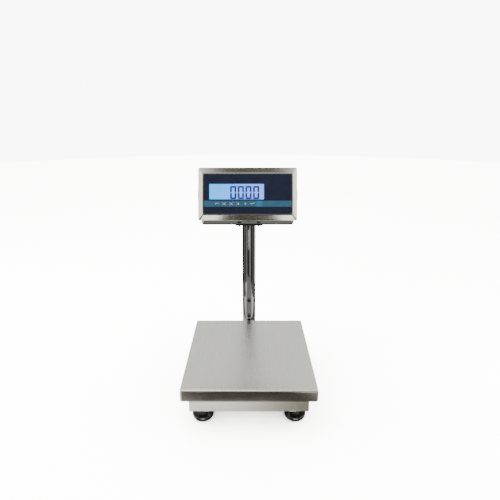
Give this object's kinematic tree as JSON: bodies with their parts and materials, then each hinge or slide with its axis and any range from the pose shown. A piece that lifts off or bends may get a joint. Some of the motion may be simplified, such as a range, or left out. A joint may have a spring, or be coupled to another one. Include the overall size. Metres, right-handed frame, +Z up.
{
  "type": "platform weighing scale",
  "caption": "Stainless bench weighing scale: square platform on levelling feet, rear column and tilting indicator with display and keys.",
  "frame": {"origin": "floor level under the centre of the whole footprint, from the tray's front edge to the back of the indicator", "axes": "+Z up, -Y towards the user in front of the indicator, +X to that user's right"},
  "size_m": [0.304, 0.3562, 0.5476],
  "materials": {
    "satin_steel": "satin brushed stainless sheet",
    "base_steel": "blasted stainless box section",
    "polished_steel": "mirror-polished stainless tube",
    "plated_steel": "bright zinc-plated steel",
    "aluminium": "machined and clear anodised",
    "foot_rubber": "smooth glossy black moulded rubber",
    "buffer_rubber": "matt black rubber",
    "black_plastic": "moulded black plastic",
    "navy_overlay": "printed navy polyester overlay",
    "teal_overlay": "printed teal polyester overlay",
    "display_glass": "lit pale-blue liquid crystal display",
    "vial_glass": "clear vial with yellow-green liquid",
    "circuit_board": "green solder mask",
    "battery_case": "dark grey moulded case"
  },
  "bodies": {
    "base": {"tilt_bracket": "satin_steel", "column_head_plate": "satin_steel", "base_rail_front": "base_steel", "base_rail_rear": "base_steel", "base_rail_left": "base_steel", "base_rail_right": "base_steel", "base_cross_member": "base_steel", "column_bracket": "base_steel", "column_tube": "polished_steel", "column_spigot": "plated_steel", "load_cell_spacer_lower": "plated_steel", "head_bolt_left": "plated_steel", "head_bolt_right": "plated_steel", "foot_lock_nut_front_left": "plated_steel", "foot_lock_nut_front_right": "plated_steel", "foot_lock_nut_rear_left": "plated_steel", "foot_lock_nut_rear_right": "plated_steel", "overload_stop_front_left": "plated_steel", "overload_stop_front_right": "plated_steel", "overload_stop_rear_left": "plated_steel", "overload_stop_rear_right": "plated_steel", "load_cell": "aluminium", "bubble_level_housing": "aluminium", "base_cable_gland": "black_plastic", "column_screw_lower": "black_plastic", "column_screw_upper": "black_plastic", "bubble_level_vial": "vial_glass"},
    "load_receptor": {"load_cell_spacer_upper": "plated_steel", "load_frame_beam_left": "base_steel", "load_frame_beam_right": "base_steel", "load_frame_plate": "base_steel", "tray_buffer_front_left": "buffer_rubber", "tray_buffer_front_right": "buffer_rubber", "tray_buffer_rear_left": "buffer_rubber", "tray_buffer_rear_right": "buffer_rubber"},
    "tray": {"load_tray": "satin_steel"},
    "indicator": {"indicator_front_shell": "satin_steel", "indicator_keypad_panel": "navy_overlay", "indicator_display": "display_glass", "indicator_main_board": "circuit_board", "indicator_rear_shell": "satin_steel", "indicator_gasket": "buffer_rubber", "indicator_battery": "battery_case", "indicator_cable_gland": "black_plastic"},
    "foot_pad_front_left": {"foot_pad_front_left": "foot_rubber"},
    "foot_stud_front_left": {"foot_stud_front_left": "plated_steel"},
    "foot_pad_front_right": {"foot_pad_front_right": "foot_rubber"},
    "foot_stud_front_right": {"foot_stud_front_right": "plated_steel"},
    "foot_pad_rear_left": {"foot_pad_rear_left": "foot_rubber"},
    "foot_stud_rear_left": {"foot_stud_rear_left": "plated_steel"},
    "foot_pad_rear_right": {"foot_pad_rear_right": "foot_rubber"},
    "foot_stud_rear_right": {"foot_stud_rear_right": "plated_steel"},
    "key_1": {"key_1": "teal_overlay"},
    "key_2": {"key_2": "teal_overlay"},
    "key_3": {"key_3": "teal_overlay"},
    "key_4": {"key_4": "teal_overlay"},
    "key_5": {"key_5": "teal_overlay"},
    "key_6": {"key_6": "teal_overlay"},
    "tilt_knob_left": {"tilt_knob_left": "black_plastic"},
    "tilt_knob_right": {"tilt_knob_right": "black_plastic"}
  },
  "joints": [
    {"name": "load_deflection", "type": "slide", "parent": "base", "child": "load_receptor", "axis": [0, 0, 1], "range_m": [-0.0005, 0], "stiffness_N_per_m": 850000},
    {"name": "tray_lift_off", "type": "slide", "parent": "load_receptor", "child": "tray", "axis": [0, 0, 1], "range_m": [0, 0.06]},
    {"name": "indicator_tilt", "type": "hinge", "parent": "base", "child": "indicator", "pos_m": [-0.0035, 0.13879, 0.46852], "axis": [-1, 0, 0], "range_deg": [-20, 50]},
    {"name": "foot_height_front_left", "type": "slide", "parent": "base", "child": "foot_pad_front_left", "axis": [0, 0, 1], "range_m": [-0.012, 0.003]},
    {"name": "foot_screw_front_left", "type": "hinge", "parent": "foot_pad_front_left", "child": "foot_stud_front_left", "pos_m": [-0.106, -0.13608, 0.015], "axis": [0, 0, 1], "range_deg": [-2881, 721]},
    {"name": "foot_height_front_right", "type": "slide", "parent": "base", "child": "foot_pad_front_right", "axis": [0, 0, 1], "range_m": [-0.012, 0.003]},
    {"name": "foot_screw_front_right", "type": "hinge", "parent": "foot_pad_front_right", "child": "foot_stud_front_right", "pos_m": [0.106, -0.13608, 0.015], "axis": [0, 0, 1], "range_deg": [-2881, 721]},
    {"name": "foot_height_rear_left", "type": "slide", "parent": "base", "child": "foot_pad_rear_left", "axis": [0, 0, 1], "range_m": [-0.012, 0.003]},
    {"name": "foot_screw_rear_left", "type": "hinge", "parent": "foot_pad_rear_left", "child": "foot_stud_rear_left", "pos_m": [-0.106, 0.08392, 0.015], "axis": [0, 0, 1], "range_deg": [-2881, 721]},
    {"name": "foot_height_rear_right", "type": "slide", "parent": "base", "child": "foot_pad_rear_right", "axis": [0, 0, 1], "range_m": [-0.012, 0.003]},
    {"name": "foot_screw_rear_right", "type": "hinge", "parent": "foot_pad_rear_right", "child": "foot_stud_rear_right", "pos_m": [0.106, 0.08392, 0.015], "axis": [0, 0, 1], "range_deg": [-2881, 721]},
    {"name": "key_1_press", "type": "slide", "parent": "indicator", "child": "key_1", "axis": [0, 0.9694, -0.2453], "range_m": [0, 0.0004], "stiffness_N_per_m": 4000},
    {"name": "key_2_press", "type": "slide", "parent": "indicator", "child": "key_2", "axis": [0, 0.9694, -0.2453], "range_m": [0, 0.0004], "stiffness_N_per_m": 4000},
    {"name": "key_3_press", "type": "slide", "parent": "indicator", "child": "key_3", "axis": [0, 0.9694, -0.2453], "range_m": [0, 0.0004], "stiffness_N_per_m": 4000},
    {"name": "key_4_press", "type": "slide", "parent": "indicator", "child": "key_4", "axis": [0, 0.9694, -0.2453], "range_m": [0, 0.0004], "stiffness_N_per_m": 4000},
    {"name": "key_5_press", "type": "slide", "parent": "indicator", "child": "key_5", "axis": [0, 0.9694, -0.2453], "range_m": [0, 0.0004], "stiffness_N_per_m": 4000},
    {"name": "key_6_press", "type": "slide", "parent": "indicator", "child": "key_6", "axis": [0, 0.9694, -0.2453], "range_m": [0, 0.0004], "stiffness_N_per_m": 4000},
    {"name": "tilt_knob_left_turn", "type": "hinge", "parent": "indicator", "child": "tilt_knob_left", "pos_m": [-0.1335, 0.13879, 0.46852], "axis": [-1, 0, 0], "range_deg": [0, 360]},
    {"name": "tilt_knob_right_turn", "type": "hinge", "parent": "indicator", "child": "tilt_knob_right", "pos_m": [0.1265, 0.13879, 0.46852], "axis": [1, 0, 0], "range_deg": [0, 360]}
  ],
  "couplings": [
    {"joint": "foot_screw_front_left", "follows": "foot_height_front_left", "rad_per_m": 4188.8},
    {"joint": "foot_screw_front_right", "follows": "foot_height_front_right", "rad_per_m": 4188.8},
    {"joint": "foot_screw_rear_left", "follows": "foot_height_rear_left", "rad_per_m": 4188.8},
    {"joint": "foot_screw_rear_right", "follows": "foot_height_rear_right", "rad_per_m": 4188.8}
  ]
}
